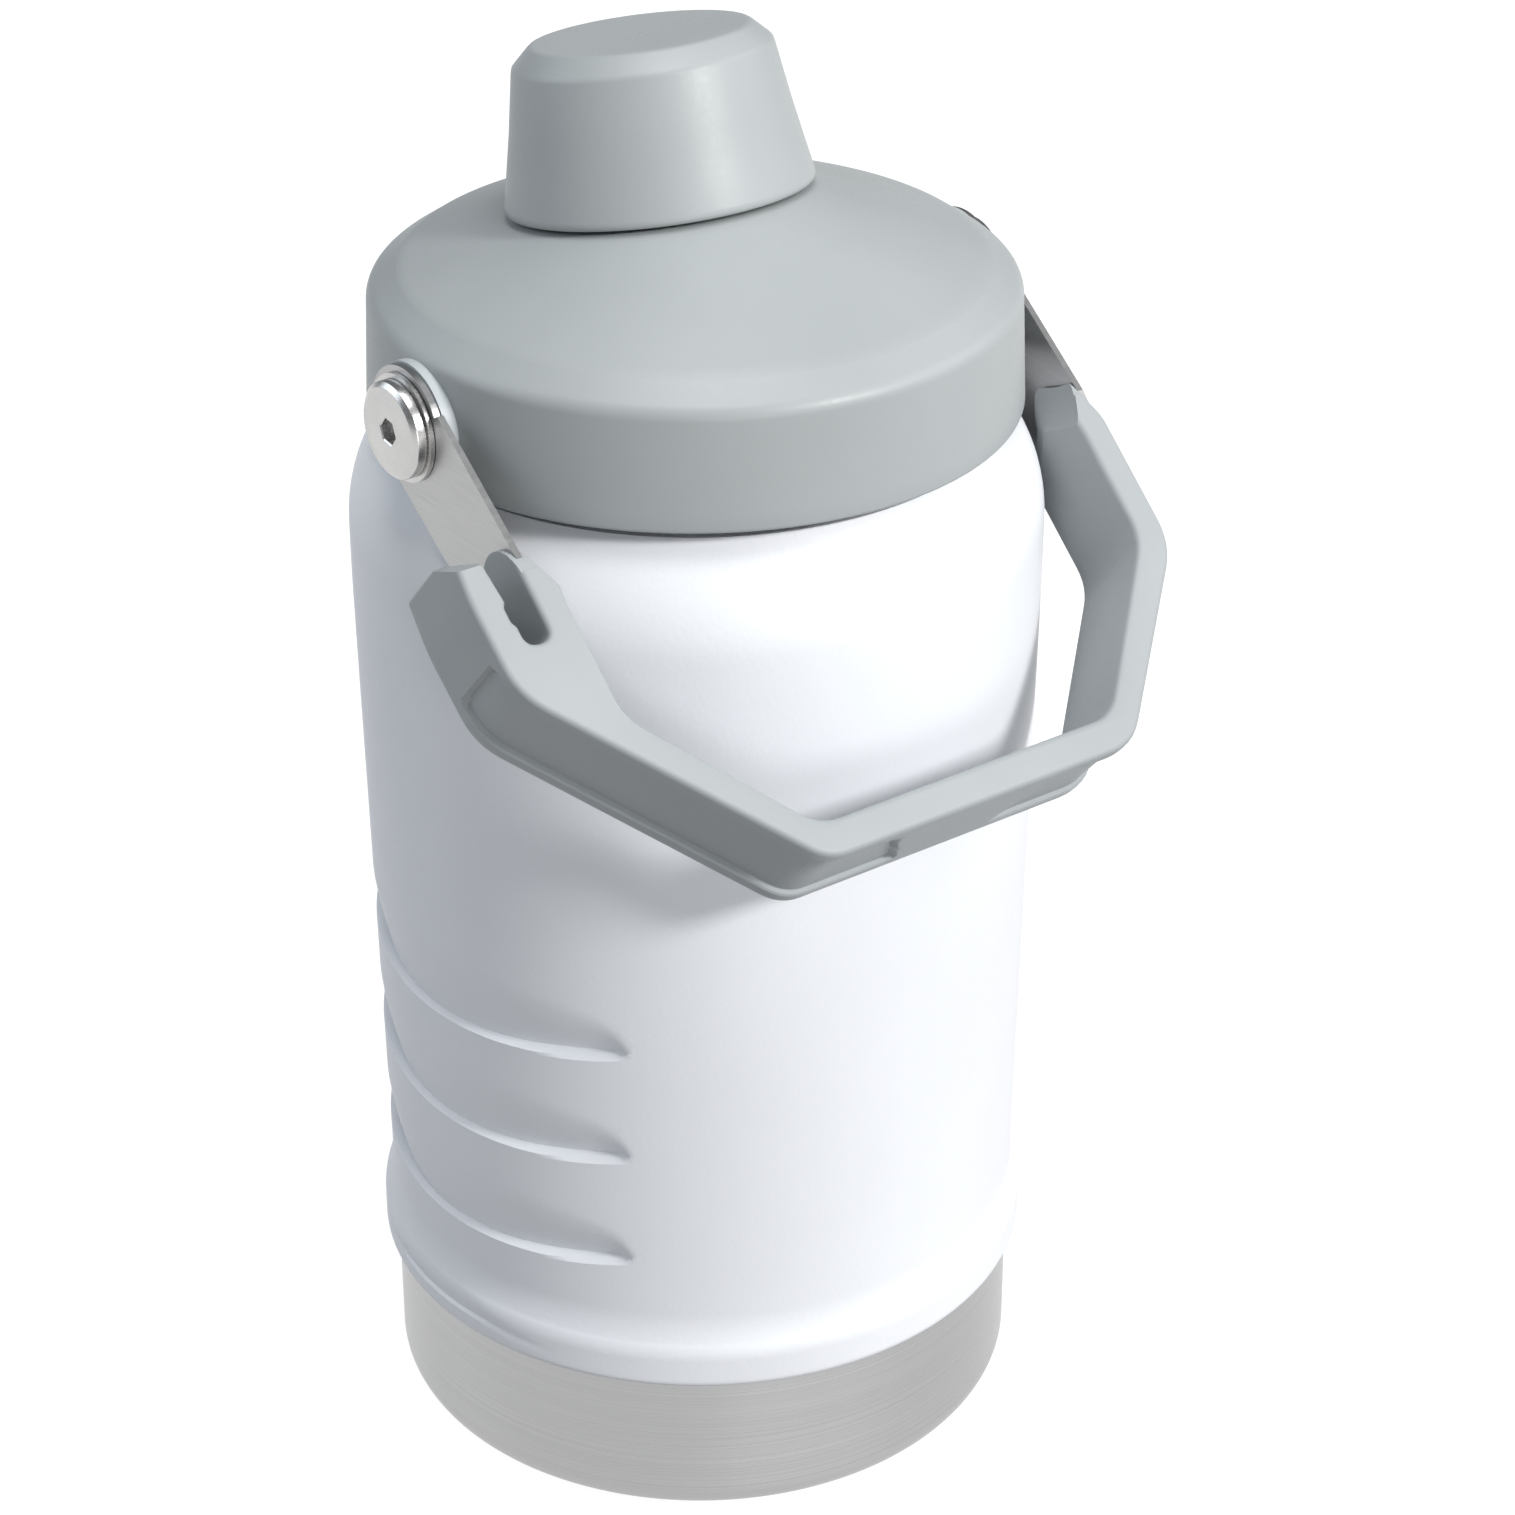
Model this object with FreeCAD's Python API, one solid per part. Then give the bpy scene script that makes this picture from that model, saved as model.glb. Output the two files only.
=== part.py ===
import FreeCAD, Part
import math
import os

V = FreeCAD.Vector

# Growler, millimetres. Origin at the centre of the flat base, +Z up, bail screws along X, spout leaning to +Y.

# Bottle
BODY_R_LOW = 59.45          # shell radius just above the lip
BODY_R_HIGH = 61.6          # shell radius under the shoulder
SHELL_WALL = 0.8
LIP_R = 61.3                # rounded lip where the coating ends
LIP_BOTTOM = 30.8
LIP_TOP = 44.0
SHOULDER_START = 180.0
SHOULDER_R = 28.0           # radius of the shoulder curve
SHOULDER_TOP = 199.5
BASE_R = 59.0
BASE_ROUND = 6.0
LINER_R = 55.2
LINER_WALL = 0.6
LINER_BOTTOM = 14.0
NECK_R = 47.7
NECK_IN_R = 46.4
NECK_TOP = 219.0

# Finger grooves on the -X side
GROOVE_CREASES = (98.8, 76.6, 54.4)
GROOVE_HEIGHT = 13.0
GROOVE_LEDGE = 2.4
GROOVE_DEPTH = 2.6
GROOVE_AXIS_X = 12.2        # the groove cutter turns round this line, so the groove dies out at its ends

# Lid
LID_BOTTOM = 201.8
LID_R_LOW = 57.5
LID_R_HIGH = 56.75
LID_ROUND_START = 221.3
LID_ROUND = 3.2
LID_TOP_R = 51.2            # inner edge of the flat chamfer
LID_TOP_Z = 226.8
LID_WALL = 2.4
SEAL_T = 2.6
PLATE_T = 1.8

# Spout and cap, measured along the leaning spout axis from the cap's lower rim
SPOUT_POINT = V(0, 10.1, 235.3)
SPOUT_TILT = 11.4
SPOUT_R = 18.6
SPOUT_BORE = 15.5
SPOUT_TOP = 17.0
CAP_R = 27.2
CAP_CREASE_R = 22.65
CAP_CREASE_H = 24.9
CAP_TOP_R = 19.4
CAP_TOP_H = 28.2
CAP_GAP = 0.7
CAP_SEAL_T = 1.5

# Bail
PIVOT_Z = 211.2
REST_ANGLE = 41.77          # below the horizontal, to the front
SWING = 248.0
SPACER_R = 11.0
SPACER_END = 58.4
STRAP_IN = 58.5
STRAP_T = 1.2
WASHER_IN = 59.8
HEAD_IN = 60.6
HEAD_OUT = 63.1
HEAD_R = 8.5
SHANK_R = 4.0
BAR_REAR = -6.9
BAR_FRONT = 14.2
ARM_END_V = 34.8            # centre of the arch that ends each arm
ARM_END_W = 7.2
ARM_END_R = 6.6


def polygon(points):
    return Part.makePolygon([V(*p) for p in points] + [V(*points[0])])


def revolve(points, centre=V(0, 0, 0)):
    """Turn a closed (radius, height) outline once round a vertical line."""
    wire = polygon([(centre.x + r, centre.y, z) for r, z in points])
    return Part.Face(wire).revolve(centre, V(0, 0, 1), 360)


def arc(cr, cz, radius, start, end, steps=8):
    """(radius, height) points along an arc, angles in degrees from the outward direction."""
    angles = [math.radians(start + (end - start) * i / steps) for i in range(steps + 1)]
    return [(cr + radius * math.cos(a), cz + radius * math.sin(a)) for a in angles]


def tube(r_out, r_in, z0, z1):
    outer = Part.makeCylinder(r_out, z1 - z0, V(0, 0, z0))
    return outer.cut(Part.makeCylinder(r_in, z1 - z0, V(0, 0, z0)))


def ridge(radius, height, pitch, z0, turns, starts):
    """Helical thread ridges standing on a tube of the given radius, ends run into the tube."""
    pieces = []
    for s in range(starts):
        helix = Part.makeHelix(pitch, pitch * turns, radius)
        half = 0.9
        section = polygon([(radius - 0.3, 0, -half), (radius + height, 0, -0.35), (radius + height, 0, 0.35),
                           (radius - 0.3, 0, half)])
        body = Part.Wire(helix.Edges).makePipeShell([section], True, True)
        body.rotate(V(0, 0, 0), V(0, 0, 1), 360.0 * s / starts)
        body.translate(V(0, 0, z0))
        pieces.append(body)
    return pieces


def on_spout(shape):
    """Carry a shape built round +Z at the origin onto the leaning spout axis."""
    moved = shape.copy()
    moved.rotate(V(0, 0, 0), V(1, 0, 0), -SPOUT_TILT)
    moved.translate(SPOUT_POINT)
    return moved


def circle_wire(radius, z, on_axis=False):
    wire = Part.Wire(Part.makeCircle(radius, V(0, 0, z), V(0, 0, 1)))
    return on_spout(wire) if on_axis else wire


def bail_point(x, v, w):
    """A point of the bail: x across, v away from the screws, w through the bar."""
    a = math.radians(REST_ANGLE)
    y = -v * math.cos(a) - w * math.sin(a)
    z = PIVOT_Z - v * math.sin(a) + w * math.cos(a)
    return V(x, y, z)


def bail_prism(outline, w0, w1):
    """Extrude an (x, v) outline through the bar."""
    points = [bail_point(x, v, w0) for x, v in outline]
    face = Part.Face(Part.makePolygon(points + points[:1]))
    return face.extrude(bail_point(0, 0, w1) - bail_point(0, 0, w0))


def side_prism(outline, x0, x1):
    """Extrude a (v, w) outline across the bail."""
    points = [bail_point(x0, v, w) for v, w in outline]
    face = Part.Face(Part.makePolygon(points + points[:1]))
    return face.extrude(V(x1 - x0, 0, 0))


def cross_cylinder(radius, x0, x1):
    return Part.makeCylinder(radius, x1 - x0, V(x0, 0, PIVOT_Z), V(1, 0, 0))


def mirrored(shape):
    return shape.mirror(V(0, 0, 0), V(1, 0, 0))


def bottle():
    shoulder_cr = BODY_R_HIGH - SHOULDER_R
    end = math.degrees(math.asin((SHOULDER_TOP - SHOULDER_START) / SHOULDER_R))
    lip = [(BASE_R + 0.0, LIP_BOTTOM + 1.6), (LIP_R - 1.2, LIP_BOTTOM), (LIP_R - 0.3, LIP_BOTTOM + 0.6), (LIP_R, LIP_BOTTOM + 2.2),
           (LIP_R, LIP_TOP - 7.5), (LIP_R - 0.5, LIP_TOP - 3.5), (BODY_R_LOW, LIP_TOP)]
    outside = lip + arc(shoulder_cr, SHOULDER_START, SHOULDER_R, 0, end)
    inside = arc(shoulder_cr, SHOULDER_START, SHOULDER_R - SHELL_WALL, end, 0)
    inside += [(BASE_R + 0.0, 46.0)]
    shell = revolve(outside + [(NECK_R, SHOULDER_TOP), (NECK_R, SHOULDER_TOP - SHELL_WALL)] + inside)
    for crease in GROOVE_CREASES:
        deep = BODY_R_LOW + (crease - LIP_TOP) * 0.0158 - GROOVE_DEPTH + GROOVE_AXIS_X
        cutter = revolve([(deep + 12, crease + GROOVE_HEIGHT), (deep + GROOVE_DEPTH, crease + GROOVE_HEIGHT),
                          (deep + 1.5, crease + GROOVE_HEIGHT * 0.5), (deep, crease),
                          (deep + GROOVE_DEPTH + 0.3, crease - GROOVE_LEDGE), (deep + 12, crease - GROOVE_LEDGE)],
                         V(GROOVE_AXIS_X, 0, 0))
        box = Part.makeBox(50, 100, 60, V(-80, -50, crease - 30))
        cutter = cutter.common(box)
        thick = cutter.copy()
        thick.translate(V(SHELL_WALL, 0, 0))
        skin = revolve([(BASE_R - 5, crease - 5), (BODY_R_HIGH - SHELL_WALL, crease - 5), (BODY_R_HIGH - SHELL_WALL, crease + 16),
                        (BASE_R - 5, crease + 16)])
        shell = shell.fuse(thick.common(skin)).cut(cutter)
    return shell


def base_cup():
    outside = [(0, 0)] + arc(BASE_R - BASE_ROUND, BASE_ROUND, BASE_ROUND, -90, 0) + [(BASE_R, 46.0)]
    inner_round = BASE_ROUND - SHELL_WALL
    inside = [(BASE_R - SHELL_WALL, 46.0)] + arc(BASE_R - BASE_ROUND, BASE_ROUND, inner_round, 0, -90) + [(0, SHELL_WALL)]
    return revolve(outside + inside)


def inner_liner():
    wall = LINER_WALL
    outside = [(LINER_R - 4, LINER_BOTTOM), (LINER_R, LINER_BOTTOM + 4), (LINER_R, 180.0), (LINER_R - 1.5, 186.0), (NECK_IN_R, 194.0),
               (NECK_IN_R, NECK_TOP)]
    inside = [(NECK_IN_R - wall, NECK_TOP), (NECK_IN_R - wall, 193.6), (LINER_R - 1.5 - wall, 185.7), (LINER_R - wall, 179.8),
              (LINER_R - wall, LINER_BOTTOM + 4.3), (LINER_R - 4 - wall * 0.4, LINER_BOTTOM)]
    return revolve(outside + inside)


def neck_ring():
    ring = tube(NECK_R, NECK_IN_R, 195.0, NECK_TOP)
    for piece in ridge(NECK_R, 0.9, 12.0, 204.5, 0.85, 2):
        ring = ring.fuse(piece)
    return ring.cut(Part.makeCylinder(NECK_IN_R, 60, V(0, 0, 180)))


def lid_shell():
    band = [(0, LID_BOTTOM), (LID_R_LOW - 0.5, LID_BOTTOM), (LID_R_LOW, LID_BOTTOM + 0.5)]
    band += arc(LID_R_HIGH - LID_ROUND, LID_ROUND_START, LID_ROUND, 0, 54) + [(LID_TOP_R, LID_TOP_Z), (0, LID_TOP_Z)]
    outer = revolve(band)
    seat = circle_wire(CAP_R - 1.2, -CAP_GAP, True)
    outer = outer.fuse(Part.makeLoft([circle_wire(LID_TOP_R, LID_TOP_Z), seat], True, True))
    w = LID_WALL
    hollow = revolve([(0, LID_BOTTOM), (LID_R_LOW - w, LID_BOTTOM), (LID_R_HIGH - w, LID_ROUND_START),
                      (LID_TOP_R, LID_TOP_Z - w), (0, LID_TOP_Z - w)])
    shell = outer.cut(hollow).cut(lid_cavity())
    shell = shell.cut(on_spout(Part.makeCylinder(SPOUT_R, 60, V(0, 0, -30))))
    for side in (-1, 1):
        x0 = 50.0 if side > 0 else -70.0
        shell = shell.cut(cross_cylinder(SPACER_R, x0, x0 + 20))
    return shell


def lid_cavity():
    """Space between the lid's top and the plate over the neck."""
    low = circle_wire(LID_TOP_R - 1.2, LID_TOP_Z - LID_WALL)
    return Part.makeLoft([low, circle_wire(CAP_R - 3.2, -CAP_GAP - LID_WALL, True)], True, True)


def lid_liner():
    plate_z = NECK_TOP + SEAL_T
    ring = tube(LID_TOP_R, 49.0, LID_BOTTOM + 2, plate_z)
    plate = Part.makeCylinder(LID_TOP_R, LID_TOP_Z - LID_WALL - plate_z, V(0, 0, plate_z))
    liner = ring.fuse(plate)
    return liner.cut(on_spout(Part.makeCylinder(SPOUT_BORE, 60, V(0, 0, -40))))


def spout():
    body = Part.makeCylinder(SPOUT_R, SPOUT_TOP + 30, V(0, 0, -30))
    for piece in ridge(SPOUT_R, 0.7, 8.0, 4.0, 1.0, 2):
        body = body.fuse(piece)
    body = body.cut(Part.makeCylinder(SPOUT_BORE, SPOUT_TOP + 40, V(0, 0, -35)))
    above = Part.makeBox(100, 100, 80, V(-50, -50, LID_TOP_Z - LID_WALL))
    return on_spout(body).common(above)


def cap_shell():
    outside = [(0, CAP_TOP_H), (CAP_TOP_R, CAP_TOP_H), (CAP_CREASE_R, CAP_CREASE_H), (CAP_R, 1.0), (CAP_R - 0.9, 0)]
    inside = [(24.6, 0), (21.3, 18.5), (20.4, 25.6), (0, 25.6)]
    return on_spout(revolve(outside + inside))


def cap_liner():
    top = SPOUT_TOP + CAP_SEAL_T
    cup = tube(21.3, 19.7, 2.0, top).fuse(Part.makeCylinder(21.3, 1.8, V(0, 0, top)))
    hollow = revolve([(0, 0), (24.6, 0), (21.3, 18.5), (20.4, 25.6), (0, 25.6)])
    return on_spout(cup.common(hollow))


def cap_core():
    base = SPOUT_TOP + CAP_SEAL_T + 1.8
    hollow = revolve([(0, 0), (24.6, 0), (21.3, 18.5), (20.4, 25.6), (0, 25.6)])
    return on_spout(Part.makeCylinder(30, 10, V(0, 0, base)).common(hollow))


def pivot_screw():
    head = Part.makeCylinder(HEAD_R, HEAD_OUT - HEAD_IN, V(HEAD_IN, 0, PIVOT_Z), V(1, 0, 0))
    head = head.makeChamfer(0.8, [e for e in head.Edges if e.Length > 40 and e.CenterOfMass.x > HEAD_OUT - 0.1])
    screw = head.fuse(cross_cylinder(SHANK_R, SPACER_END, HEAD_IN)).fuse(cross_cylinder(3.0, 53.4, SPACER_END))
    corners = [(2.31 * math.cos(math.radians(60 * i)), 2.31 * math.sin(math.radians(60 * i))) for i in range(6)]
    socket = Part.Face(polygon([(HEAD_OUT, a, PIVOT_Z + b) for a, b in corners])).extrude(V(-1.8, 0, 0))
    return screw.cut(socket)


def strap():
    neck = [(0, -10.3), (21, -8.0), (30, -6.4), (46, -5.0), (46, 12.4), (34, 13.4), (4, 11.0)]
    plate = side_prism(neck, STRAP_IN, STRAP_IN + STRAP_T).fuse(cross_cylinder(10.6, STRAP_IN, STRAP_IN + STRAP_T))
    return plate.cut(cross_cylinder(SHANK_R + 0.06, STRAP_IN - 1, STRAP_IN + 3))


def rounded(points, cuts):
    """Cut each corner of an outline with three short chords; cuts gives the set-back at each corner."""
    result = []
    count = len(points)
    for i, (x, y) in enumerate(points):
        reach = cuts[i]
        if not reach:
            result.append((x, y))
            continue
        before = points[i - 1]
        after = points[(i + 1) % count]
        a = step_towards((x, y), before, reach)
        b = step_towards((x, y), after, reach)
        for t in (0.0, 0.25, 0.5, 0.75, 1.0):
            result.append(tuple((1 - t) ** 2 * a[k] + 2 * t * (1 - t) * (x, y)[k] + t ** 2 * b[k] for k in (0, 1)))
    return result


def step_towards(start, target, reach):
    length = math.hypot(target[0] - start[0], target[1] - start[1])
    return tuple(start[k] + (target[k] - start[k]) * reach / length for k in (0, 1))


def handle_grip():
    # Outer edge from the hook tip round to the right arm, inner edge back to the left arm, then the hook slot.
    outline = [(-70.6, 27.2, 0.8), (-71.6, 37.0, 3), (-71.2, 54.1, 5), (-32.8, 97.4, 4), (32.8, 97.4, 5), (60.6, 66.1, 5),
               (60.6, 40.0, 1.5), (57.6, 31.5, 1.0), (57.6, 27.0, 0), (53.4, 27.0, 0), (53.4, 33.0, 1.5), (54.8, 41.0, 2),
               (54.8, 63.3, 4), (31.2, 91.1, 4), (-31.2, 91.1, 4), (-55.1, 63.3, 4), (-55.1, 41.0, 2), (-53.7, 33.0, 1.5),
               (-53.7, 27.0, 0), (-60.6, 27.0, 0), (-60.6, 47.0, 2.3),
               (-65.4, 47.0, 2.3), (-65.4, 43.2, 0.3), (-66.0, 42.2, 0.3), (-66.0, 39.6, 0.3), (-65.4, 38.6, 0.3),
               (-66.2, 30.0, 0.6), (-67.6, 27.2, 0.8)]
    corners = [(x, v) for x, v, cut in outline]
    cuts = [cut for x, v, cut in outline]
    bar = bail_prism(rounded(corners, cuts), BAR_REAR, BAR_FRONT)
    # Both arms end in an arch round the strap, lower at the back.
    angles = [math.pi * i / 12 for i in range(13)]
    arch = [(ARM_END_V - ARM_END_R * math.sin(a), ARM_END_W - ARM_END_R * math.cos(a)) for a in angles]
    blank = [(20, BAR_REAR - 1), (41.0, BAR_REAR - 1)] + arch + [(ARM_END_V, BAR_FRONT + 1), (20, BAR_FRONT + 1)]
    for x0, x1 in ((-60.6, -53.0), (53.0, 61.5)):
        bar = bar.cut(side_prism(blank, x0, x1))
    # The hook tip slopes back towards the front face.
    bar = bar.cut(side_prism([(24, 5), (27.0, 5), (32.2, 15.5), (24, 15.5)], -75, -62))
    room = Part.makeCylinder(BODY_R_HIGH + 0.5, 60, V(0, 0, 140))
    rear_room = room.copy()
    rear_room.rotate(V(0, 0, PIVOT_Z), V(1, 0, 0), SWING)
    bar = bar.cut(room).cut(rear_room)
    return bar.cut(strap()).cut(mirrored(strap()))


def main():
    os.makedirs("parts", exist_ok=True)
    plate_z = NECK_TOP + SEAL_T
    spacer = cross_cylinder(SPACER_R, 52.6, SPACER_END)
    insert = cross_cylinder(4.6, 53.2, SPACER_END).cut(cross_cylinder(3.0, 50.0, SPACER_END))
    spacer = spacer.cut(cross_cylinder(4.6, 53.2, SPACER_END + 1))
    washer = cross_cylinder(9.4, WASHER_IN, HEAD_IN).cut(cross_cylinder(SHANK_R, WASHER_IN, HEAD_IN))
    screw = pivot_screw()
    spout_axis_bore = on_spout(Part.makeCylinder(SPOUT_R, 80, V(0, 0, -40)))
    parts = {
        "outer_shell": bottle(),
        "base_cup": base_cup(),
        "vacuum_floor": Part.makeCylinder(BASE_R - SHELL_WALL, 0.8, V(0, 0, 7.0)),
        "getter": Part.makeCylinder(6.0, 3.0, V(0, 0, 7.8)),
        "inner_liner": inner_liner(),
        "liner_floor": Part.makeCylinder(LINER_R - 4, 0.6, V(0, 0, LINER_BOTTOM - 0.6)),
        "neck_ring": neck_ring(),
        "lid_shell": lid_shell(),
        "lid_liner": lid_liner(),
        "lid_insulation": lid_cavity().cut(spout_axis_bore),
        "spout": spout(),
        "pivot_spacer_left": mirrored(spacer),
        "pivot_spacer_right": spacer,
        "pivot_insert_left": mirrored(insert),
        "pivot_insert_right": insert,
        "pivot_screw_left": mirrored(screw),
        "pivot_screw_right": screw,
        "pivot_washer_left": mirrored(washer),
        "pivot_washer_right": washer,
        "lid_seal": tube(47.6, 44.6, NECK_TOP, plate_z),
        "cap_shell": cap_shell(),
        "cap_liner": cap_liner(),
        "cap_core": cap_core(),
        "cap_seal": on_spout(tube(SPOUT_R, SPOUT_BORE + 0.1, SPOUT_TOP + 0.04, SPOUT_TOP + CAP_SEAL_T - 0.04)),
        "handle_grip": handle_grip(),
        "strap_left": mirrored(strap()),
        "strap_right": strap(),
    }
    for name, shape in parts.items():
        if len(shape.Solids) == 1:
            shape = shape.Solids[0]
        shape.exportStep(f"parts/{name}.step")


main()
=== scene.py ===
import math

import bmesh
import bpy
from mathutils import Matrix, Vector
from mathutils.geometry import tessellate_polygon


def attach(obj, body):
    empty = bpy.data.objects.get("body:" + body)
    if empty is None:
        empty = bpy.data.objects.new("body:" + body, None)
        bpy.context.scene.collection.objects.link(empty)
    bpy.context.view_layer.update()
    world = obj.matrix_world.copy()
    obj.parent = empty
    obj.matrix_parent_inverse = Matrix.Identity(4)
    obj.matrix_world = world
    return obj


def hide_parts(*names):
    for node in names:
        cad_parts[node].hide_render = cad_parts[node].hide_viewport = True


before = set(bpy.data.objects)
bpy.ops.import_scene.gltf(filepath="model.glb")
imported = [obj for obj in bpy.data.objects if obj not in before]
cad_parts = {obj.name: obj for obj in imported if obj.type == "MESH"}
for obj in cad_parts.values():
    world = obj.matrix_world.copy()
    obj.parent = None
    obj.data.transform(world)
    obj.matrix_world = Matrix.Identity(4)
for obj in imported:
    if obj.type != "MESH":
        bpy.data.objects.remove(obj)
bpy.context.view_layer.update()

MM = 0.001

# Sizes in millimetres, the same as the CAD frame.
LIP_BOTTOM, LIP_TOP, LIP_R = 30.8, 44.0, 61.3
BODY_LOW, BODY_HIGH, SHELL_WALL = 59.45, 61.6, 0.8
SHOULDER_START, SHOULDER_R, SHOULDER_TOP = 180.0, 28.0, 199.5
BASE_R, BASE_ROUND = 59.0, 6.0
NECK_R = 47.7
LID_BOTTOM, LID_LOW, LID_HIGH, LID_SIDE_TOP, LID_ROUND = 201.8, 57.5, 56.75, 221.3, 3.2
LID_TOP_R, LID_TOP_Z, LID_WALL = 51.2, 226.8, 2.4
SPOUT_POINT, SPOUT_TILT, SPOUT_HOLE = (0.0, 10.1, 235.3), math.radians(11.4), 18.7
CAP_GAP = 0.7
PIVOT_Z, REST = 211.2, math.radians(41.77)
SWING = math.radians(248.0)
HEAD_IN, HEAD_OUT, HEAD_R = 60.6, 63.1, 8.5
BAR_REAR, BAR_FRONT = -6.9, 14.2
ARM_END_V, ARM_END_W, ARM_END_R = 34.8, 7.2, 6.6


# Colour and shader helpers

def linear(hex_colour):
    """sRGB hex to linear RGBA."""
    channels = [int(hex_colour[i:i + 2], 16) / 255 for i in (1, 3, 5)]
    return tuple(c / 12.92 if c <= 0.04045 else ((c + 0.055) / 1.055) ** 2.4 for c in channels) + (1.0,)


def add(tree, kind, links=(), **settings):
    """Add one node; settings are its properties or the plain values of its sockets, links feed its sockets."""
    node = tree.nodes.new(kind)
    for key, value in settings.items():
        if hasattr(node, key):
            setattr(node, key, value)
        else:
            node.inputs[key.replace("_", " ")].default_value = value
    for source, socket in links:
        tree.links.new(source, node.inputs[socket])
    return node


def surface(name, tones, patch_mm, grain_mm, relief, rough, stretch=(1.0, 1.0, 1.0), **shader):
    """A finish in two close tones over patches patch_mm wide. Its fine grain, grain_mm wide, makes the relief
    (strength, height in mm) and moves the roughness between two values. The rest goes straight on the shader."""
    mat = bpy.data.materials.new(name)
    mat.use_nodes = True
    tree = mat.node_tree
    tree.nodes.clear()
    coords = add(tree, "ShaderNodeTexCoord")
    drawn = add(tree, "ShaderNodeMapping", [(coords.outputs["Object"], "Vector")], Scale=stretch)
    patches = add(tree, "ShaderNodeTexNoise", [(drawn.outputs[0], "Vector")], Scale=1000.0 / patch_mm, Detail=3.0)
    tone = add(tree, "ShaderNodeValToRGB", [(patches.outputs[0], "Fac")])
    for element, place, colour in zip(tone.color_ramp.elements, (0.3, 0.7), tones):
        element.position = place
        element.color = linear(colour)
    grain = add(tree, "ShaderNodeTexNoise", [(drawn.outputs[0], "Vector")], Scale=1000.0 / grain_mm, Detail=2.0)
    bump = add(tree, "ShaderNodeBump", [(grain.outputs[0], "Height")], Strength=relief[0], Distance=relief[1] * MM)
    gloss = add(tree, "ShaderNodeMapRange", [(grain.outputs[0], "Value")], From_Min=0.3, From_Max=0.7, To_Min=rough[0],
                To_Max=rough[1])
    skin = add(tree, "ShaderNodeBsdfPrincipled", [(tone.outputs[0], "Base Color"), (bump.outputs[0], "Normal"),
                                                  (gloss.outputs[0], "Roughness")], **shader)
    add(tree, "ShaderNodeOutputMaterial", [(skin.outputs[0], "Surface")])
    return mat


# Polyester powder coat, baked on steel: a white skin with fine orange peel and a soft low gloss.
# Real peel is about 0.5 mm across, drawn coarser to show.
COAT = surface("powder_coat_white", ("#e2e4e9", "#e7e9ed"), 60.0, 1.1, (0.3, 0.12), (0.4, 0.52), IOR=1.5)

# Polypropylene moulded against a spark-eroded tool: cool grey, an even stipple and a broad soft sheen.
# Real stipple is about 0.2 mm across, drawn coarser to show.
LID_GREY = surface("polypropylene_lid_grey", ("#9ba0a1", "#a1a6a7"), 45.0, 0.7, (0.2, 0.08), (0.4, 0.5), IOR=1.49)

# The same plastic in the bail, from a shallower tool texture: hardly darker, and a little duller.
BAIL_GREY = surface("polypropylene_bail_grey", ("#999ea0", "#9fa4a6"), 45.0, 0.7, (0.18, 0.08), (0.48, 0.58),
                    IOR=1.49)

# Acetal spacer rings under the straps: a shade paler than the lid, from a polished tool, so a tighter sheen.
SPACER_GREY = surface("acetal_spacer", ("#abb1b4", "#b3b9bc"), 20.0, 0.9, (0.1, 0.05), (0.35, 0.42), IOR=1.48)

# 18/8 stainless cup finished on an abrasive belt while turning: fine lines run round the axis, so highlights
# stretch up and down. Real lines are about 0.05 mm apart, drawn coarser to show.
BASE_STEEL = surface("stainless_brushed_round", ("#a2a2a2", "#b2b2b2"), 30.0, 30.0, (0.2, 0.05), (0.26, 0.36),
                     (0.12, 0.12, 160.0), Metallic=1.0, Anisotropic=0.7, Anisotropic_Rotation=0.25)

# 1.2 mm stainless strip, belt-brushed across its width before bending: quiet mid grey with close level lines.
STRAP_STEEL = surface("stainless_strap_brushed", ("#a4a4a4", "#acacac"), 12.0, 8.0, (0.04, 0.02), (0.3, 0.36),
                      (1.0, 1.0, 30.0), Metallic=1.0)

# Machined stainless socket heads, tumbled bright: nearly even, a faint haze.
SCREW_STEEL = surface("stainless_screw_tumbled", ("#bab9b8", "#c2c1c0"), 5.0, 0.6, (0.015, 0.02), (0.26, 0.3),
                      Metallic=1.0)

# Drawn stainless of the drinking vessel, electropolished: soft bright satin.
INNER_STEEL = surface("stainless_inner_satin", ("#a8a8a8", "#c0c0c0"), 40.0, 4.0, (0.1, 0.05), (0.28, 0.36),
                      Metallic=1.0)

# Food-grade polypropylene of the lid plate, spout and cap liner: off-white, smooth from the tool.
INNER_PLASTIC = surface("polypropylene_inner", ("#c9cdcf", "#d3d6d8"), 30.0, 1.2, (0.08, 0.05), (0.4, 0.48), IOR=1.49)

# Polyurethane foam poured into the lid and cap: cream, open cells about 0.4 mm across, no shine.
FOAM = surface("polyurethane_foam", ("#e3dfcf", "#ebe8db"), 12.0, 0.8, (0.5, 0.3), (0.85, 0.95), IOR=1.45)

# Moulded silicone seals: milky grey, dull, faint flow marks.
SILICONE = surface("silicone_milky", ("#d5d7d7", "#dedfdf"), 10.0, 2.0, (0.08, 0.05), (0.5, 0.6), IOR=1.41)

# Turned brass inserts: warm yellow, tool lines softened by tumbling.
BRASS = surface("brass_insert", ("#b5924c", "#c9a55c"), 6.0, 0.8, (0.12, 0.04), (0.28, 0.36), Metallic=1.0)

# Sintered getter pill on the vacuum floor: dark grey pressed powder.
GETTER = surface("sintered_getter", ("#7d7b78", "#8b8986"), 3.0, 0.6, (0.4, 0.1), (0.6, 0.7), Metallic=1.0)


# Mesh helpers

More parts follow.
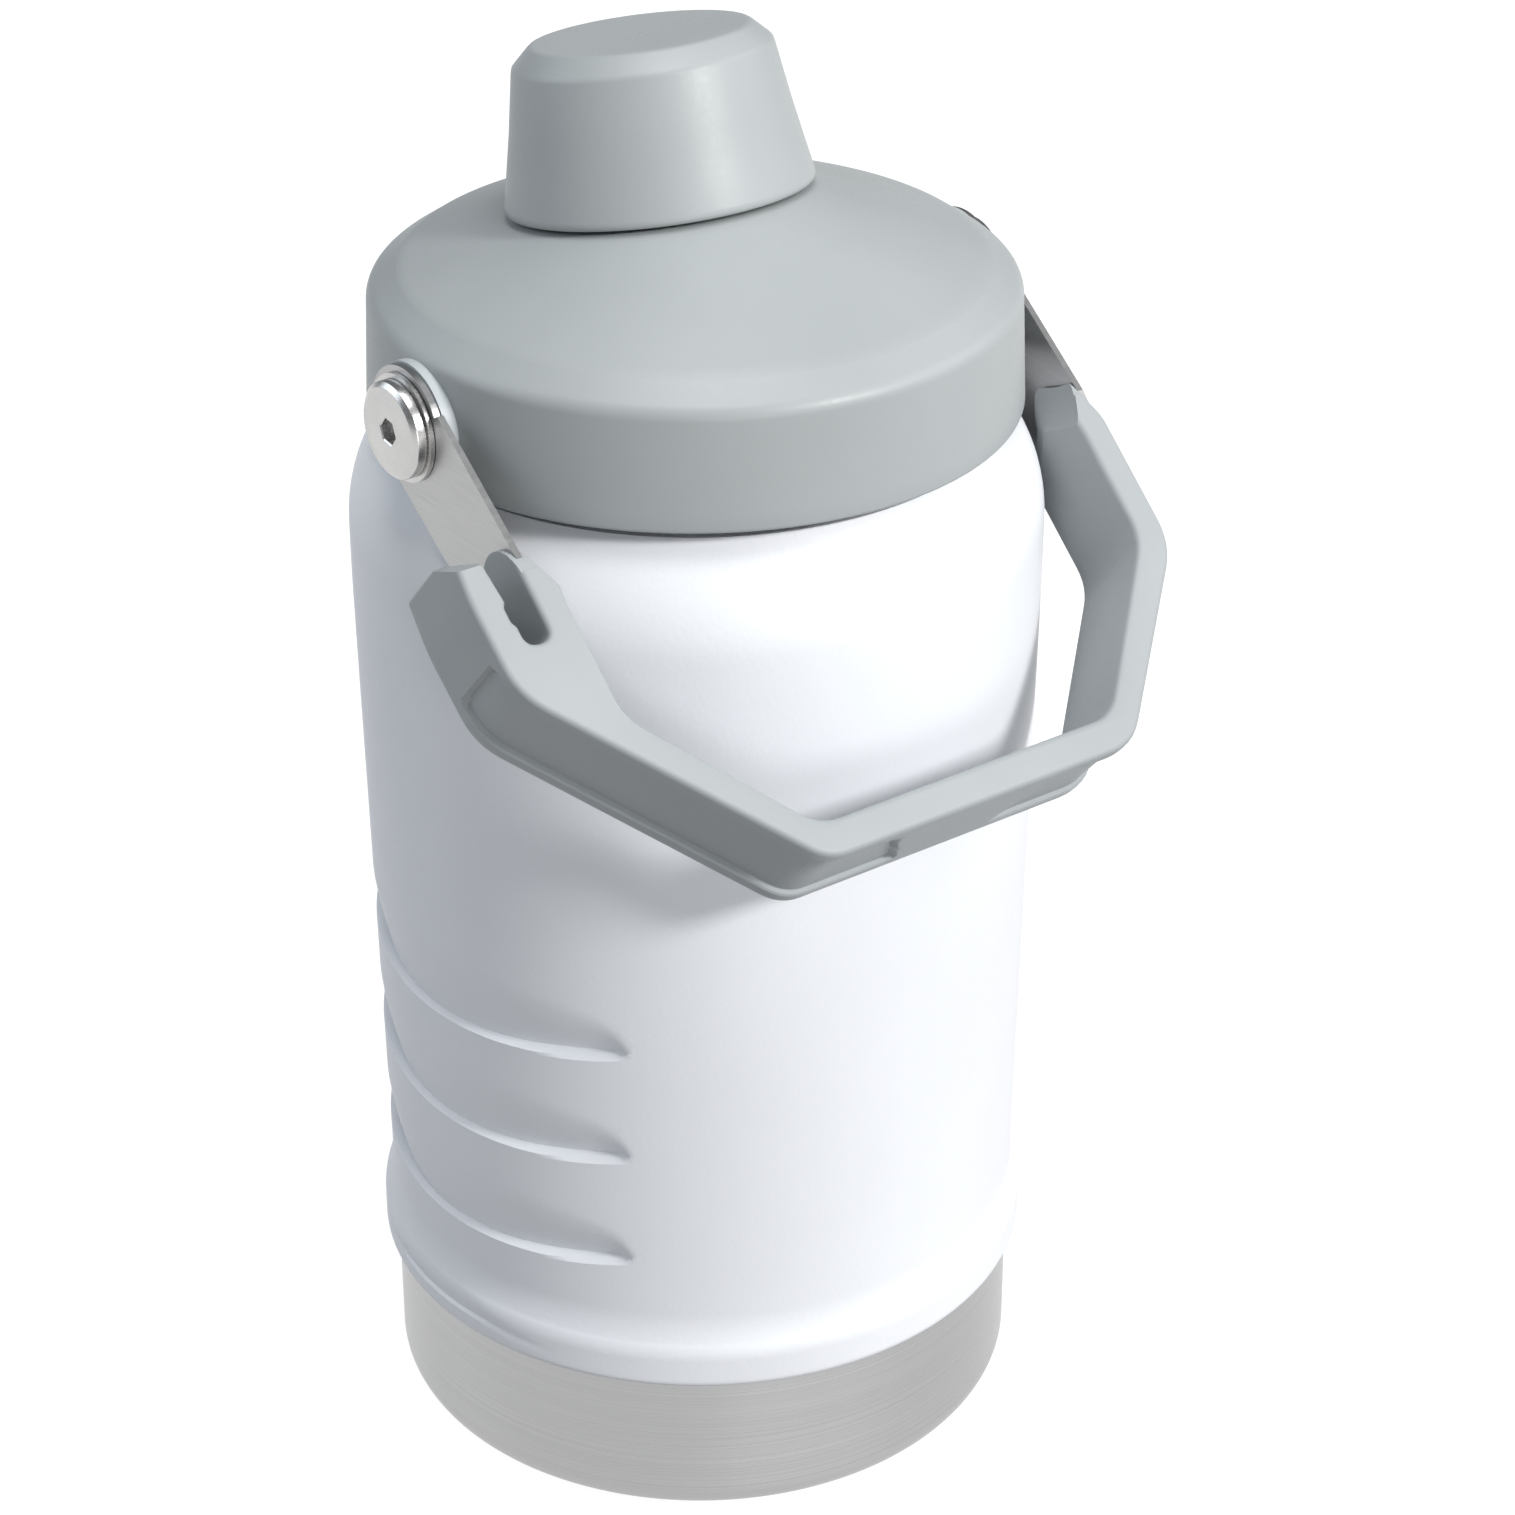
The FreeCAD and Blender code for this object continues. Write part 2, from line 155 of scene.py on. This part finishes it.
def finish_mesh(name, verts, faces, mat, body, sharp_deg, *nodes):
    """One closed piece: millimetre points and faces to a smooth-shaded object riding a body."""
    mesh = bpy.data.meshes.new(name)
    mesh.from_pydata([Vector(v) * MM for v in verts], [], faces)
    bm = bmesh.new()
    bm.from_mesh(mesh)
    bmesh.ops.remove_doubles(bm, verts=bm.verts, dist=1e-6)
    bmesh.ops.recalc_face_normals(bm, faces=bm.faces)
    bm.to_mesh(mesh)
    bm.free()
    mesh.shade_smooth()
    mesh.set_sharp_from_angle(angle=math.radians(sharp_deg))
    mesh.materials.append(mat)
    obj = bpy.data.objects.new(name, mesh)
    bpy.context.scene.collection.objects.link(obj)
    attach(obj, body)
    if nodes:
        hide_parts(*nodes)
    return obj


def lathe(profile, angles, place):
    """Grid of place(r, z, angle) round a closed profile; a profile is a loop of (r, z)."""
    verts = [place(r, z, a) for a in angles for r, z in profile]
    n, m = len(angles), len(profile)
    faces = []
    for i in range(n):
        for j in range(m):
            k, l = (i + 1) % n, (j + 1) % m
            faces.append((i * m + j, k * m + j, k * m + l, i * m + l))
    return verts, faces


def even_angles(count):
    return [2 * math.pi * i / count for i in range(count)]


def arc(cr, cz, radius, start, end, steps):
    turn = [math.radians(start + (end - start) * i / steps) for i in range(steps + 1)]
    return [(cr + radius * math.cos(a), cz + radius * math.sin(a)) for a in turn]


def subdivided(points, step):
    """A polyline with no piece longer than step."""
    result = [points[0]]
    for a, b in zip(points, points[1:]):
        count = max(1, math.ceil(math.dist(a, b) / step))
        for i in range(1, count + 1):
            t = i / count
            result.append(tuple(p + (q - p) * t for p, q in zip(a, b)))
    return result


def smooth(t):
    t = min(1.0, max(0.0, t))
    return t * t * (3 - 2 * t)


def on_spout(r, h, angle):
    """A point at radius r, height h and angle about the leaning spout axis."""
    x, y = r * math.cos(angle), r * math.sin(angle)
    c, s = math.cos(SPOUT_TILT), math.sin(SPOUT_TILT)
    return (SPOUT_POINT[0] + x, SPOUT_POINT[1] + y * c + h * s, SPOUT_POINT[2] - y * s + h * c)


# Coated shell with its finger grooves

GROOVES = (98.2, 76.2, 54.0, 35.0)
GROOVE_HALF, GROOVE_HALF_LOW = math.radians(41.5), math.radians(30.0)
GROOVE_RISE = 3.7       # how far the crease climbs towards each end
GROOVE_LEDGE = 1.3
GROOVE_FADE = 14.0      # height over which the press fades out above a crease
GROOVE_SIDE = (130, 230)    # directions in degrees that hold the grooves, cut finer


def groove_depth(height, off):
    """How far the skin is pressed in at a height (before the rise) and an angle off -X."""
    total = 0.0
    for crease in GROOVES:
        low = crease < LIP_TOP      # the lowest one is short and only dents the lip
        t = off / (GROOVE_HALF_LOW if low else GROOVE_HALF)
        if t >= 1.0:
            continue
        tip = (1 - smooth(t)) * 0.5 if low else math.sqrt(1 - t ** 14)
        depth = (1.1 + 1.2 * smooth(t * 1.15)) * tip
        reach = (GROOVE_FADE - 0.5 * GROOVE_FADE * t * t) * tip + 0.01
        ledge = GROOVE_LEDGE * (0.3 + 0.7 * smooth(t * 1.6 - 0.6))
        if crease <= height < crease + reach:
            total = max(total, depth * (1 - (height - crease) / reach) ** 1.7)
        elif crease - ledge < height < crease:
            total = max(total, depth * (1 - (crease - height) / ledge))
    return total


def shell_point(r, z, angle):
    off = abs(math.atan2(math.sin(angle - math.pi), math.cos(angle - math.pi)))
    press = groove_depth(z, off)
    t = min(1.0, off / GROOVE_HALF)
    climb = GROOVE_RISE * t * t * smooth((math.radians(75) - off) / math.radians(30))
    band = smooth((z - LIP_TOP - 1) / 7) * smooth((150 - z) / 35)
    z += climb * band
    r -= press
    return (r * math.cos(angle), r * math.sin(angle), z)


def bottle_shell():
    shoulder_cr = BODY_HIGH - SHOULDER_R
    top = math.degrees(math.asin((SHOULDER_TOP - SHOULDER_START) / SHOULDER_R))
    lip = [(BASE_R + 0.05, LIP_BOTTOM + 1.4)] + arc(LIP_R - 1.6, LIP_BOTTOM + 1.6, 1.6, -100, 0, 8)
    lip += [(LIP_R, LIP_BOTTOM + 6)] + arc(LIP_R - 6.0, LIP_TOP - 7.0, 6.0, 0, 34, 6)
    rows = [44.4, 46.0, 48.0, 50.0]
    for crease in GROOVES[:3]:
        below = (GROOVE_LEDGE + 0.35, GROOVE_LEDGE, 1.35, 0.7, 0.08, 0.0)
        rows += [crease - drop for drop in below]
        rows += [crease + (GROOVE_FADE + 0.5) * (i / 22) ** 1.15 for i in range(1, 23)]
    rows += [114 + 6 * i for i in range(11)]
    rows = sorted(set(round(q, 3) for q in rows))
    slope = (BODY_HIGH - BODY_LOW) / (SHOULDER_START - 10 - LIP_TOP)
    line = [(min(BODY_HIGH, BODY_LOW + slope * (z - LIP_TOP)), z) for z in rows]
    shoulder = [(BODY_HIGH, SHOULDER_START - 5)] + arc(shoulder_cr, SHOULDER_START, SHOULDER_R, 0, top, 14)
    outside = subdivided(lip, 0.6) + line + shoulder
    inside = arc(shoulder_cr, SHOULDER_START, SHOULDER_R - SHELL_WALL, top, 0, 8)
    inside += [(r - SHELL_WALL, z) for r, z in reversed(line) if z > 46.5]
    neck = [(NECK_R, SHOULDER_TOP), (NECK_R, SHOULDER_TOP - SHELL_WALL)]
    profile = outside + neck + inside + [(BASE_R + 0.05, 46.0)]
    start, end = GROOVE_SIDE
    degrees = [2.5 * i for i in range(int(start / 2.5))] + list(range(start, end))
    degrees += [end + 2.5 * i for i in range(int((360 - end) / 2.5))]
    verts, faces = lathe(profile, [math.radians(d) for d in degrees], shell_point)
    obj = finish_mesh("coated_shell", verts, faces, COAT, "bottle", 38, "outer_shell")
    return obj


def base_band():
    round_r = BASE_R - BASE_ROUND
    outside = [(r, 0.0) for r in (0.3, 20, 40, 50)] + arc(round_r, BASE_ROUND, BASE_ROUND, -90, 0, 14)
    outside += [(BASE_R, z) for z in (12.0, 20.0, 30.0, 46.0)]
    inside = [(BASE_R - SHELL_WALL, 46.0), (BASE_R - SHELL_WALL, BASE_ROUND)]
    inside += arc(round_r, BASE_ROUND, BASE_ROUND - SHELL_WALL, 0, -90, 8) + [(0.3, SHELL_WALL)]
    verts, faces = lathe(outside + inside, even_angles(180), lambda r, z, a: (r * math.cos(a), r * math.sin(a), z))
    obj = finish_mesh("base_band", verts, faces, BASE_STEEL, "bottle", 40, "base_cup")
    return obj


# Lid: a turned band that lofts up to the leaning seat of the spout cap

def lid_shell():
    count, steps = 200, 14
    seat_r, seat_h = 26.0, -CAP_GAP
    band = [(LID_LOW - 2.2, LID_BOTTOM)] + arc(LID_LOW - 0.7, LID_BOTTOM + 0.7, 0.7, -90, 0, 5)
    band = subdivided(band + [(LID_HIGH, LID_SIDE_TOP)], 3.0)[:-1]
    band += arc(LID_HIGH - LID_ROUND, LID_SIDE_TOP, LID_ROUND, 0, 54, 10)
    band += subdivided([(55.2, 224.06), (LID_TOP_R + 0.4, LID_TOP_Z - 0.3)], 1.0) + [(LID_TOP_R, LID_TOP_Z)]
    under = [(LID_TOP_R - 1.0, LID_TOP_Z - LID_WALL), (LID_HIGH - LID_WALL, LID_SIDE_TOP - 1.0),
             (LID_LOW - LID_WALL, LID_BOTTOM + 0.3)]
    rings, faces = [], []
    for a in even_angles(count):
        ring = [(r * math.cos(a), r * math.sin(a), z) for r, z in band]
        start = Vector(ring[-1])
        finish = Vector(on_spout(seat_r, seat_h, a))
        for i in range(1, steps + 1):
            t = i / steps
            sag = 0.5 * math.sin(math.pi * t)
            p = start.lerp(finish, t)
            ring.append((p.x, p.y, p.z + sag))
        ring.append(on_spout(seat_r - 0.5, seat_h + 0.1, a))
        ring.append(on_spout(SPOUT_HOLE, seat_h + 0.1, a))
        ring.append(on_spout(SPOUT_HOLE, seat_h - LID_WALL, a))
        ring.append(on_spout(seat_r - 2.0, seat_h - LID_WALL, a))
        ring += [(r * math.cos(a), r * math.sin(a), z) for r, z in under]
        rings.append(ring)
    m = len(rings[0])
    for i in range(count):
        for j in range(m):
            k, l = (i + 1) % count, (j + 1) % m
            faces.append((i * m + j, k * m + j, k * m + l, i * m + l))
    verts = [p for ring in rings for p in ring]
    obj = finish_mesh("lid_top", verts, faces, LID_GREY, "lid", 42, "lid_shell")
    return obj


def cap():
    top = [(0.25, 28.2), (10.0, 28.2), (18.2, 28.2)]
    edge = [(19.1, 28.1), (19.6, 27.75)]
    crease = [(22.1, 25.35), (22.55, 24.85), (22.75, 24.2)]
    skirt = [(24.5, 14.0), (26.0, 6.5), (27.0, 1.6), (27.1, 0.8), (26.85, 0.2), (26.3, 0.0)]
    inside = [(24.6, 0.1), (21.3, 18.5), (20.4, 25.6), (0.25, 25.6)]
    verts, faces = lathe(top + edge + crease + skirt + inside, even_angles(160), on_spout)
    obj = finish_mesh("spout_cap", verts, faces, LID_GREY, "cap", 50, "cap_shell")
    return obj


# Bail: outline in (x across, v away from the screws), pulled through w

def bail_point(x, v, w):
    y = -v * math.cos(REST) - w * math.sin(REST)
    z = PIVOT_Z - v * math.sin(REST) + w * math.cos(REST)
    return (x, y, z)


def rounded(points, cuts, steps=6):
    """Round each corner of a closed outline; a set-back of 0 keeps it sharp."""
    result = []
    for i, corner in enumerate(points):
        reach = cuts[i]
        if not reach:
            result.append(corner)
            continue
        p = Vector(corner)
        a = p + (Vector(points[i - 1]) - p).normalized() * reach
        b = p + (Vector(points[(i + 1) % len(points)]) - p).normalized() * reach
        for k in range(steps + 1):
            t = k / steps
            q = a * (1 - t) ** 2 + p * 2 * t * (1 - t) + b * t ** 2
            result.append((q.x, q.y))
    return result


BAIL_OUTLINE = (
    (-70.6, 27.2, 0.8), (-71.6, 37.0, 3), (-71.2, 54.1, 5), (-32.8, 97.4, 4), (32.8, 97.4, 5), (60.6, 66.1, 5),
    (60.6, 40.0, 1.5), (57.6, 31.5, 1), (57.6, 27.0, 0), (53.4, 27.0, 0), (53.4, 33.0, 1.5), (54.8, 41.0, 2),
    (54.8, 63.3, 4), (31.2, 91.1, 4), (-31.2, 91.1, 4), (-55.1, 63.3, 4), (-55.1, 41.0, 2), (-53.7, 33.0, 1.5),
    (-53.7, 27.0, 0), (-60.6, 27.0, 0), (-60.6, 47.0, 2.35), (-65.4, 47.0, 2.35),
    (-65.4, 43.2, 0.3), (-66.0, 42.2, 0.3), (-66.0, 39.6, 0.3), (-65.4, 38.6, 0.3),
    (-66.2, 30.0, 0.6), (-67.6, 27.2, 0.8))
EDGE_ROUND = 1.1
PANEL_DEPTH = 1.0
PANEL_MARGIN = 3.0
PANEL_CORNER = 1.8


def outward(points):
    """Unit outward normals of a closed outline, averaged at its points."""
    area = sum(a[0] * b[1] - b[0] * a[1] for a, b in zip(points, points[1:] + points[:1]))
    sign = 1 if area > 0 else -1
    normals = []
    for i, p in enumerate(points):
        a, b = points[i - 1], points[(i + 1) % len(points)]
        d = Vector((b[0] - a[0], b[1] - a[1]))
        if d.length < 1e-9:
            d = Vector((1, 0))
        d.normalize()
        normals.append(Vector((d.y, -d.x)) * sign)
    return normals


def panel_share(x, v, w, outer_side):
    """1 inside the sunk panels of the bail's outer side, 0 outside."""
    if not outer_side:
        return 0.0
    off_middle = w - (BAR_REAR + BAR_FRONT) / 2
    from_side = (BAR_FRONT - BAR_REAR) / 2 - PANEL_MARGIN - abs(off_middle)
    from_end = min(abs(x) - 13.5 - off_middle * 0.5, v - (47.0 if x < 0 else 43.0))
    inside = PANEL_CORNER - math.hypot(max(PANEL_CORNER - from_side, 0.0), max(PANEL_CORNER - from_end, 0.0))
    return smooth(inside / 0.45)


def bail():
    outline = rounded([p[:2] for p in BAIL_OUTLINE], [p[2] for p in BAIL_OUTLINE])
    fine = subdivided(outline + outline[:1], 0.6)[:-1]
    normals = outward(fine)
    last_outer = max(i for i, p in enumerate(fine) if abs(p[0] - 60.6) < 1e-3 and p[1] < 66)
    quarter = [math.radians(a) for a in (0, 22, 45, 68, 90)]
    widths = [(BAR_REAR + EDGE_ROUND * (1 - math.cos(a)), -EDGE_ROUND * (1 - math.sin(a))) for a in quarter]
    lo, hi = BAR_REAR + PANEL_MARGIN, BAR_FRONT - PANEL_MARGIN
    middle = [lo - 0.2, lo + 0.15, lo + 0.35, lo + 0.55, lo + 0.9]
    middle += [lo + 2.5 + (hi - lo - 5.0) * i / 10 for i in range(11)]
    middle += [hi - 0.9, hi - 0.55, hi - 0.35, hi - 0.15, hi + 0.2]
    columns = widths + [(w, 0.0) for w in middle] + [(BAR_REAR + BAR_FRONT - w, o) for w, o in reversed(widths)]
    verts, faces = [], []
    for w, offset in columns:
        for i, (p, n) in enumerate(zip(fine, normals)):
            outer_side = i <= last_outer and p[0] > -71.6
            push = offset - PANEL_DEPTH * panel_share(p[0], p[1], w, outer_side)
            verts.append(bail_point(p[0] + n.x * push, p[1] + n.y * push, w))
    m, c = len(fine), len(columns)
    for k in range(c - 1):
        for i in range(m):
            j = (i + 1) % m
            faces.append((k * m + i, k * m + j, (k + 1) * m + j, (k + 1) * m + i))
    for k in (0, c - 1):
        push = columns[k][1]
        rim = [Vector((p[0] + n.x * push, p[1] + n.y * push, 0)) for p, n in zip(fine, normals)]
        faces += [tuple(k * m + i for i in triangle) for triangle in tessellate_polygon([rim])]
    obj = finish_mesh("bail_bar", verts, faces, BAIL_GREY, "bail", 35)
    cut_bail(obj)
    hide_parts("handle_grip")
    return obj


def cutter(name, verts, faces):
    mesh = bpy.data.meshes.new(name)
    mesh.from_pydata([Vector(v) * MM for v in verts], [], faces)
    bm = bmesh.new()
    bm.from_mesh(mesh)
    bmesh.ops.recalc_face_normals(bm, faces=bm.faces)
    bm.to_mesh(mesh)
    bm.free()
    obj = bpy.data.objects.new(name, mesh)
    bpy.context.scene.collection.objects.link(obj)
    return obj


def prism(name, bottom, top):
    n = len(bottom)
    faces = [tuple(range(n)), tuple(range(2 * n - 1, n - 1, -1))]
    faces += [(i, (i + 1) % n, n + (i + 1) % n, n + i) for i in range(n)]
    return cutter(name, list(bottom) + list(top), faces)


def cut_bail(obj):
    """Round the ends of both arms and leave room for the bottle at both ends of the swing."""
    half_turn = [math.pi * i / 24 for i in range(25)]
    arch = [(ARM_END_V - ARM_END_R * math.sin(a), ARM_END_W - ARM_END_R * math.cos(a)) for a in half_turn]
    blank = [(20, BAR_REAR - 2), (41.2, BAR_REAR - 2)] + arch + [(ARM_END_V, BAR_FRONT + 2), (20, BAR_FRONT + 2)]
    tools = []
    slope = [(24, 5), (27.0, 5), (32.2, 15.5), (24, 15.5)]
    cuts = (("arm_end", blank, -60.65, -53.0), ("arm_end", blank, 53.0, 61.5), ("hook_tip", slope, -75, -62))
    for name, side, x0, x1 in cuts:
        tools.append(prism(name, [bail_point(x0, v, w) for v, w in side], [bail_point(x1, v, w) for v, w in side]))
    ring = [((BODY_HIGH + 0.6) * math.cos(a), (BODY_HIGH + 0.6) * math.sin(a)) for a in even_angles(240)]
    tools.append(prism("front_room", [(x, y, 140.0) for x, y in ring], [(x, y, 200.0) for x, y in ring]))
    turn = Matrix.Rotation(SWING, 4, "X")
    pivot = Vector((0, 0, PIVOT_Z))
    ends = [[tuple(turn @ (Vector((x, y, z)) - pivot) + pivot) for x, y in ring] for z in (140.0, 200.0)]
    tools.append(prism("rear_room", *ends))
    for tool in tools:
        mod = obj.modifiers.new("cut", "BOOLEAN")
        mod.operation, mod.solver, mod.object = "DIFFERENCE", "EXACT", tool
    graph = bpy.context.evaluated_depsgraph_get()
    result = bpy.data.meshes.new_from_object(obj.evaluated_get(graph))
    obj.modifiers.clear()
    obj.data = result
    obj.data.shade_smooth()
    obj.data.set_sharp_from_angle(angle=math.radians(32))
    for tool in tools:
        bpy.data.objects.remove(tool)


# Pivot screws: one head, set on both sides by geometry nodes

def screw_head_mesh():
    """A chamfered socket head, facing +X, its seat at x = 0."""
    height = HEAD_OUT - HEAD_IN
    bm = bmesh.new()
    seg = 96
    profile = [(0.0, HEAD_R - 0.25), (0.25, HEAD_R), (height - 0.85, HEAD_R), (height - 0.7, HEAD_R - 0.06),
               (height - 0.08, HEAD_R - 0.85), (height, HEAD_R - 1.05)]
    rings = [[bm.verts.new((x * MM, r * math.cos(a) * MM, r * math.sin(a) * MM)) for a in even_angles(seg)]
             for x, r in profile]
    across = 4.0 / math.sqrt(3)
    hexes = []
    for x, grow in ((height, 0.25), (height - 0.2, 0.0), (height - 1.7, 0.0)):
        loop = []
        for a in even_angles(seg):
            sector = (a + math.radians(8)) % (math.pi / 3) - math.pi / 6
            reach = (across * math.cos(math.pi / 6) + grow) / math.cos(sector)
            loop.append(bm.verts.new((x * MM, reach * math.cos(a) * MM, reach * math.sin(a) * MM)))
        hexes.append(loop)
    stack = rings + hexes
    for lower, upper in zip(stack, stack[1:]):
        for i in range(seg):
            j = (i + 1) % seg
            bm.faces.new((lower[i], lower[j], upper[j], upper[i]))
    bm.faces.new(stack[-1])
    bm.faces.new(list(reversed(stack[0])))
    bmesh.ops.recalc_face_normals(bm, faces=bm.faces)
    mesh = bpy.data.meshes.new("screw_head_form")
    bm.to_mesh(mesh)
    bm.free()
    mesh.shade_smooth()
    mesh.set_sharp_from_angle(angle=math.radians(28))
    obj = bpy.data.objects.new("screw_head_form", mesh)
    bpy.context.scene.collection.objects.link(obj)
    return obj


def screw_pair():
    form = screw_head_mesh()
    tree = bpy.data.node_groups.new("screw_pair", "GeometryNodeTree")
    tree.interface.new_socket("Geometry", in_out="OUTPUT", socket_type="NodeSocketGeometry")
    values = {"Seat distance": HEAD_IN * MM, "Pivot height": PIVOT_Z * MM}
    sockets = {}
    for name, value in values.items():
        item = tree.interface.new_socket(name, in_out="INPUT", socket_type="NodeSocketFloat")
        item.default_value = value
        sockets[name] = item.identifier
    given = add(tree, "NodeGroupInput")
    head = add(tree, "GeometryNodeObjectInfo", transform_space="ORIGINAL", Object=form)
    minus = add(tree, "ShaderNodeMath", [(given.outputs["Seat distance"], 0)], operation="MULTIPLY")
    minus.inputs[1].default_value = -1.0
    right = add(tree, "ShaderNodeCombineXYZ", [(given.outputs["Seat distance"], "X"),
                                               (given.outputs["Pivot height"], "Z")])
    left = add(tree, "ShaderNodeCombineXYZ", [(minus.outputs[0], "X"), (given.outputs["Pivot height"], "Z")])
    ends = []
    for place, turn in ((right, 0.0), (left, math.pi)):
        point = add(tree, "GeometryNodePoints", [(place.outputs[0], "Position")], Count=1)
        copy = add(tree, "GeometryNodeInstanceOnPoints", [(point.outputs[0], "Points"),
                                                          (head.outputs["Geometry"], "Instance")],
                   Rotation=(0.0, 0.0, turn))
        ends.append(copy.outputs[0])
    join = add(tree, "GeometryNodeJoinGeometry")
    for end in ends:
        tree.links.new(end, join.inputs[0])
    real = add(tree, "GeometryNodeRealizeInstances", [(join.outputs[0], "Geometry")])
    paint = add(tree, "GeometryNodeSetMaterial", [(real.outputs[0], "Geometry")], Material=SCREW_STEEL)
    add(tree, "NodeGroupOutput", [(paint.outputs[0], "Geometry")])
    carrier = bpy.data.objects.new("screw_pair_carrier", bpy.data.meshes.new("screw_pair_carrier"))
    bpy.context.scene.collection.objects.link(carrier)
    mod = carrier.modifiers.new("screws", "NODES")
    mod.node_group = tree
    for name, value in values.items():
        mod[sockets[name]] = value
    graph = bpy.context.evaluated_depsgraph_get()
    mesh = bpy.data.meshes.new_from_object(carrier.evaluated_get(graph))
    carrier.modifiers.clear()
    bpy.data.objects.remove(carrier)
    bpy.data.objects.remove(form)
    obj = bpy.data.objects.new("pivot_screw_heads", mesh)
    bpy.context.scene.collection.objects.link(obj)
    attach(obj, "lid")
    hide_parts("pivot_screw_left", "pivot_screw_right")
    return obj


bottle_shell()
base_band()
lid_shell()
cap()
bail()
screw_pair()

# CAD nodes that stay as they are, each with its finish.
NODE_FINISH = (
    (INNER_STEEL, ("vacuum_floor", "inner_liner", "liner_floor", "neck_ring")),
    (GETTER, ("getter",)),
    (INNER_PLASTIC, ("lid_liner", "spout", "cap_liner")),
    (FOAM, ("lid_insulation", "cap_core")),
    (SILICONE, ("lid_seal", "cap_seal")),
    (SPACER_GREY, ("pivot_spacer_left", "pivot_spacer_right")),
    (BRASS, ("pivot_insert_left", "pivot_insert_right")),
    (SCREW_STEEL, ("pivot_washer_left", "pivot_washer_right")),
    (STRAP_STEEL, ("strap_left", "strap_right")),
)
for finish, nodes in NODE_FINISH:
    for node in nodes:
        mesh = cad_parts[node].data
        mesh.materials.clear()
        mesh.materials.append(finish)


# Studio: glowing pale floor, soft lamps, camera

FLOOR_HALF = 6.0
AIM = Vector((0, 0, 0.13))      # the middle of the bottle, where every lamp points


def studio():
    scene = bpy.context.scene
    floor_mat = surface("studio_floor", ("#6a6a6a", "#6e6e6e"), 400.0, 50.0, (0.0, 0.0), (0.9, 0.95),
                        Emission_Color=(1.0, 1.0, 1.0, 1.0), Emission_Strength=0.93)
    mesh = bpy.data.meshes.new("studio_floor")
    corners = ((-1, -1), (1, -1), (1, 1), (-1, 1))
    mesh.from_pydata([(x * FLOOR_HALF, y * FLOOR_HALF, 0) for x, y in corners], [], [(0, 1, 2, 3)])
    mesh.materials.append(floor_mat)
    floor = bpy.data.objects.new("studio_floor", mesh)
    scene.collection.objects.link(floor)
    floor.visible_diffuse = False       # its glow shows and reflects, but does not light the undersides

    world = bpy.data.worlds.new("studio_white")
    world.use_nodes = True
    sky = world.node_tree.nodes["Background"]
    sky.inputs["Color"].default_value = (0.9, 0.945, 1.0, 1.0)
    sky.inputs["Strength"].default_value = 0.22
    scene.world = world
    lights = (
        ("key", (0.66, -2.15, 1.45), 0.45, 54.0, (1.0, 0.99, 0.98)),
        ("overhead", (0.0, -0.25, 2.6), 1.4, 36.0, (1.0, 1.0, 1.0)),
        ("right", (1.9, -0.9, 1.3), 1.4, 13.0, (1.0, 0.99, 0.98)),
        ("low_front", (-0.41, -1.55, 0.12), 0.8, 8.5, (1.0, 1.0, 1.0)),
        ("rear_left", (-1.25, 1.2, 0.9), 1.2, 10.5, (0.86, 0.93, 1.0)),
    )
    for name, place, size, power, colour in lights:
        data = bpy.data.lights.new(name, "AREA")
        data.size, data.energy, data.color = size, power, colour
        lamp = bpy.data.objects.new(name, data)
        lamp.location = place
        lamp.rotation_euler = (AIM - Vector(place)).to_track_quat("-Z", "Y").to_euler()
        scene.collection.objects.link(lamp)
    scene.view_settings.view_transform = "Standard"


def camera():
    azimuth, pitch, yaw = math.radians(-35.676), 0.5072, 0.0162
    back, height = 0.66356, 0.49712
    data = bpy.data.cameras.new("camera")
    data.sensor_width = 36.0
    data.lens = 98.19
    data.clip_start, data.clip_end = 0.05, 30.0
    cam = bpy.data.objects.new("camera", data)
    bpy.context.scene.collection.objects.link(cam)
    cam.location = (math.sin(azimuth) * back, -math.cos(azimuth) * back, height)
    ahead = Vector((math.sin(yaw) * math.cos(pitch), math.cos(yaw) * math.cos(pitch), -math.sin(pitch)))
    ahead = Matrix.Rotation(azimuth, 3, "Z") @ ahead
    cam.rotation_euler = ahead.to_track_quat("-Z", "Y").to_euler()
    bpy.context.scene.camera = cam


studio()
camera()
